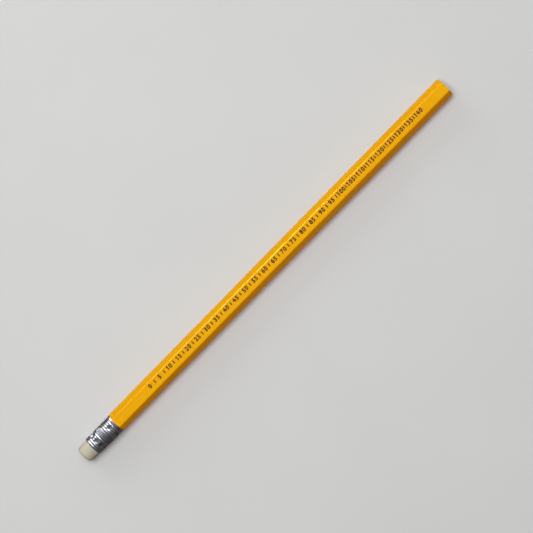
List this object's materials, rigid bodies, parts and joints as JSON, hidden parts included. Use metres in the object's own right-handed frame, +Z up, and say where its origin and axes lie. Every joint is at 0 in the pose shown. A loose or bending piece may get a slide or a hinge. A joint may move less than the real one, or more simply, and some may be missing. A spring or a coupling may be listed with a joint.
{
  "type": "pencil",
  "caption": "Unsharpened six-sided wood-cased pencil with graphite core, yellow lacquer, beaded metal ferrule, plug eraser and a printed millimetre scale.",
  "frame": {"origin": "on the ground under the middle of the pencil's length and width, as it lies on the floor of its box", "axes": "+X along the pencil from the eraser to the cut end; +Z up out of the printed flat; +Y across, towards the numerals' tops"},
  "size_m": [0.19, 0.0078, 0.0077],
  "materials": {
    "casing_wood": "raw sawn cedar",
    "graphite": "satin graphite and clay",
    "glue": "dried wood glue",
    "yellow_lacquer": "smooth gloss lacquer",
    "ferrule_metal": "bright rolled sheet",
    "eraser_rubber": "matte off-white",
    "black_ink": "thin matte print"
  },
  "bodies": {
    "root": {"upper_slat": "casing_wood", "lower_slat": "casing_wood", "graphite_core": "graphite", "glue_line": "glue", "lacquer_coat": "yellow_lacquer", "ferrule": "ferrule_metal", "eraser": "eraser_rubber", "printed_scale": "black_ink"}
  },
  "joints": []
}
